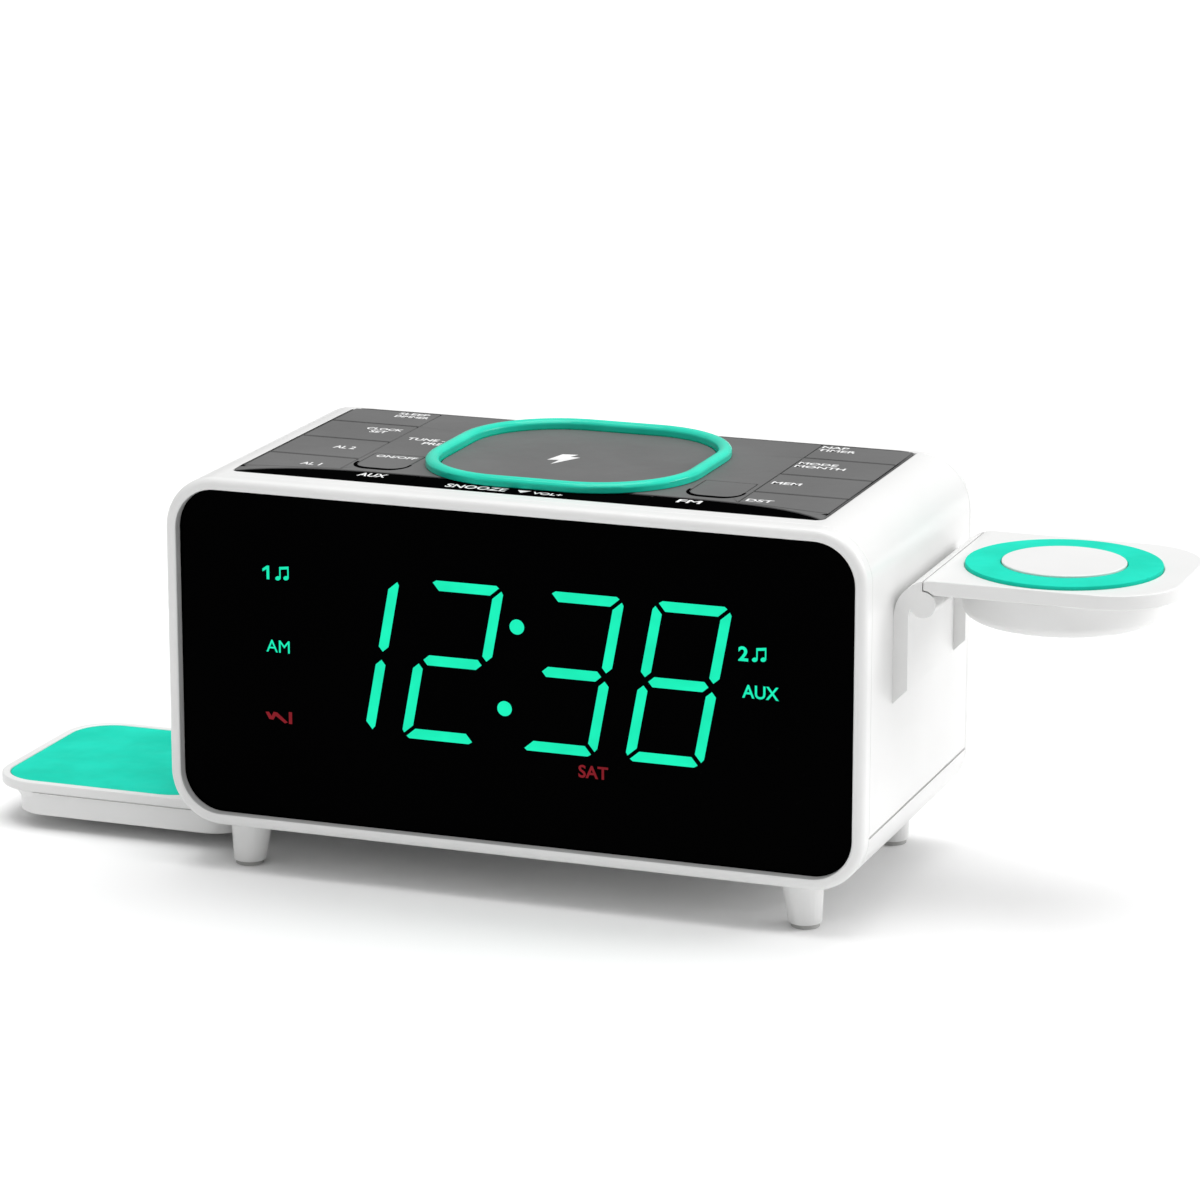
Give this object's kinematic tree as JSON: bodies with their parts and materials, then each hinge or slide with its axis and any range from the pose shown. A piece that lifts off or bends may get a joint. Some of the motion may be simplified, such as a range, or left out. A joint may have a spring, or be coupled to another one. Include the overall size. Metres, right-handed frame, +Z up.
{
  "type": "clock radio",
  "caption": "Bedside clock radio: rounded box on four feet, large digit window, top keys around a charging pad, slide-out earbud tray and fold-down watch arm.",
  "frame": {"origin": "on the table, under the middle of the overall box with the tray and the arm out", "axes": "+Z up, the display faces -Y, +X towards the watch arm"},
  "size_m": [0.285, 0.083, 0.096],
  "materials": {
    "white_shell": "satin gloss",
    "black_window": "polished smoked plastic",
    "black_lip": "polished",
    "grey_panel": "satin",
    "teal_trim": "translucent, softly lit",
    "inner_white": "moulded",
    "circuit_board": "solder mask",
    "copper_wire": "enamelled wire",
    "dark_ferrite": "sintered",
    "soft_rubber": "matt",
    "black_plastic": "moulded",
    "steel": "plated",
    "green_light": "lit display segments",
    "red_light": "lit display signs",
    "white_print": "printed lettering"
  },
  "bodies": {
    "radio": {"upper_shell": "white_shell", "base_cover": "white_shell", "rear_cover": "white_shell", "front_bezel": "white_shell", "display_window": "black_window", "display_block": "inner_white", "display_board": "circuit_board", "top_panel": "grey_panel", "front_lip": "black_lip", "pad_ring": "teal_trim", "charge_pad": "grey_panel", "coil_carrier": "inner_white", "phone_coil": "copper_wire", "phone_shield": "dark_ferrite", "key_board_left": "circuit_board", "key_board_right": "circuit_board", "snooze_board": "circuit_board", "foot_front_left": "white_shell", "foot_front_right": "white_shell", "foot_rear_left": "white_shell", "foot_rear_right": "white_shell", "foot_pads": "soft_rubber", "main_board": "circuit_board", "speaker_frame": "steel", "speaker_cone": "black_plastic", "speaker_magnet": "dark_ferrite", "dc_jack": "black_plastic", "cell_holder": "black_plastic", "backup_cell": "steel", "base_screws": "steel", "rear_screws": "steel", "arm_bracket": "white_shell", "bracket_screws": "steel", "hinge_pin": "steel"},
    "earbud_tray": {"tray_shell": "white_shell", "tray_bottom": "white_shell", "tray_pad": "teal_trim", "tray_coil": "copper_wire", "tray_shield": "dark_ferrite"},
    "watch_arm": {"arm_plate": "white_shell", "puck_cover": "white_shell", "watch_ring": "teal_trim", "watch_puck": "white_shell", "watch_coil": "copper_wire"},
    "battery_lid": {"battery_door": "white_shell"},
    "key_sleep_cap": {"key_sleep": "grey_panel"},
    "key_clock_cap": {"key_clock": "grey_panel"},
    "key_alarm_two_cap": {"key_alarm_two": "grey_panel"},
    "key_alarm_one_cap": {"key_alarm_one": "grey_panel"},
    "key_nap_cap": {"key_nap": "grey_panel"},
    "key_mode_cap": {"key_mode": "grey_panel"},
    "key_memory_cap": {"key_memory": "grey_panel"},
    "key_timer_cap": {"key_timer": "grey_panel"},
    "key_source_cap": {"key_source": "grey_panel"},
    "key_band_cap": {"key_band": "grey_panel"},
    "key_snooze_cap": {"key_snooze": "black_lip"}
  },
  "joints": [
    {"name": "tray_slide", "type": "slide", "parent": "radio", "child": "earbud_tray", "axis": [1, 0, 0], "range_m": [0, 0.05]},
    {"name": "arm_fold", "type": "hinge", "parent": "radio", "child": "watch_arm", "pos_m": [0.0881, 0.00425, 0.0733], "axis": [0, 1, 0], "range_deg": [0, 90]},
    {"name": "battery_lid_slide", "type": "slide", "parent": "radio", "child": "battery_lid", "axis": [0, 1, 0], "range_m": [0, 0.004]},
    {"name": "key_sleep_press", "type": "slide", "parent": "radio", "child": "key_sleep_cap", "axis": [0, 0, -1], "range_m": [0, 0.0006], "stiffness_N_per_m": 1500, "springref_m": -0.0003},
    {"name": "key_clock_press", "type": "slide", "parent": "radio", "child": "key_clock_cap", "axis": [0, 0, -1], "range_m": [0, 0.0006], "stiffness_N_per_m": 1500, "springref_m": -0.0003},
    {"name": "key_alarm_two_press", "type": "slide", "parent": "radio", "child": "key_alarm_two_cap", "axis": [0, 0, -1], "range_m": [0, 0.0006], "stiffness_N_per_m": 1500, "springref_m": -0.0003},
    {"name": "key_alarm_one_press", "type": "slide", "parent": "radio", "child": "key_alarm_one_cap", "axis": [0, 0, -1], "range_m": [0, 0.0006], "stiffness_N_per_m": 1500, "springref_m": -0.0003},
    {"name": "key_nap_press", "type": "slide", "parent": "radio", "child": "key_nap_cap", "axis": [0, 0, -1], "range_m": [0, 0.0006], "stiffness_N_per_m": 1500, "springref_m": -0.0003},
    {"name": "key_mode_press", "type": "slide", "parent": "radio", "child": "key_mode_cap", "axis": [0, 0, -1], "range_m": [0, 0.0006], "stiffness_N_per_m": 1500, "springref_m": -0.0003},
    {"name": "key_memory_press", "type": "slide", "parent": "radio", "child": "key_memory_cap", "axis": [0, 0, -1], "range_m": [0, 0.0006], "stiffness_N_per_m": 1500, "springref_m": -0.0003},
    {"name": "key_timer_press", "type": "slide", "parent": "radio", "child": "key_timer_cap", "axis": [0, 0, -1], "range_m": [0, 0.0006], "stiffness_N_per_m": 1500, "springref_m": -0.0003},
    {"name": "key_source_press", "type": "slide", "parent": "radio", "child": "key_source_cap", "axis": [0, 0, -1], "range_m": [0, 0.0006], "stiffness_N_per_m": 1500, "springref_m": -0.0003},
    {"name": "key_band_press", "type": "slide", "parent": "radio", "child": "key_band_cap", "axis": [0, 0, -1], "range_m": [0, 0.0006], "stiffness_N_per_m": 1500, "springref_m": -0.0003},
    {"name": "key_snooze_press", "type": "slide", "parent": "radio", "child": "key_snooze_cap", "axis": [0, 0, -1], "range_m": [0, 0.0006], "stiffness_N_per_m": 1500, "springref_m": -0.0003}
  ]
}
